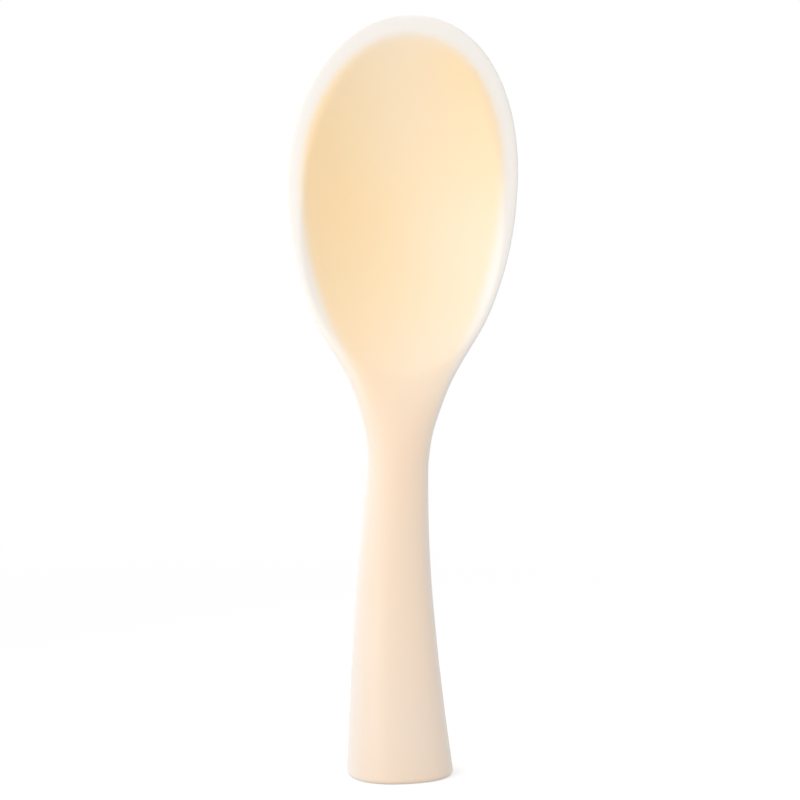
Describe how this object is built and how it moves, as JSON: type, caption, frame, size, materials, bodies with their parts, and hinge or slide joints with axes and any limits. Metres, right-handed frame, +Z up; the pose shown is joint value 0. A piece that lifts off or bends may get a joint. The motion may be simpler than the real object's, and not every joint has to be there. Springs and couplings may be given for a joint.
{
  "type": "rice paddle",
  "caption": "Self-standing rice paddle: spoon-like blade with a soft-edged oval dish, slim neck, and a handle that flares into a weighted round foot, under a milky silicone skin.",
  "frame": {"origin": "on the table under the middle of the foot's flat sole", "axes": "+Z up from the foot to the blade's tip, -Y out of the dish, +X to the right when the dish faces the viewer"},
  "size_m": [0.068, 0.0292, 0.22],
  "materials": {
    "silicone_skin": "satin",
    "paddle_core": "satin",
    "ballast_weight": "satin",
    "ballast_pad": "matte",
    "base_plug": "satin",
    "plug_seal": "satin"
  },
  "bodies": {
    "root": {"silicone_skin": "silicone_skin", "paddle_core": "paddle_core", "ballast_weight": "ballast_weight", "ballast_pad": "ballast_pad", "base_plug": "base_plug", "plug_seal": "plug_seal"}
  },
  "joints": []
}
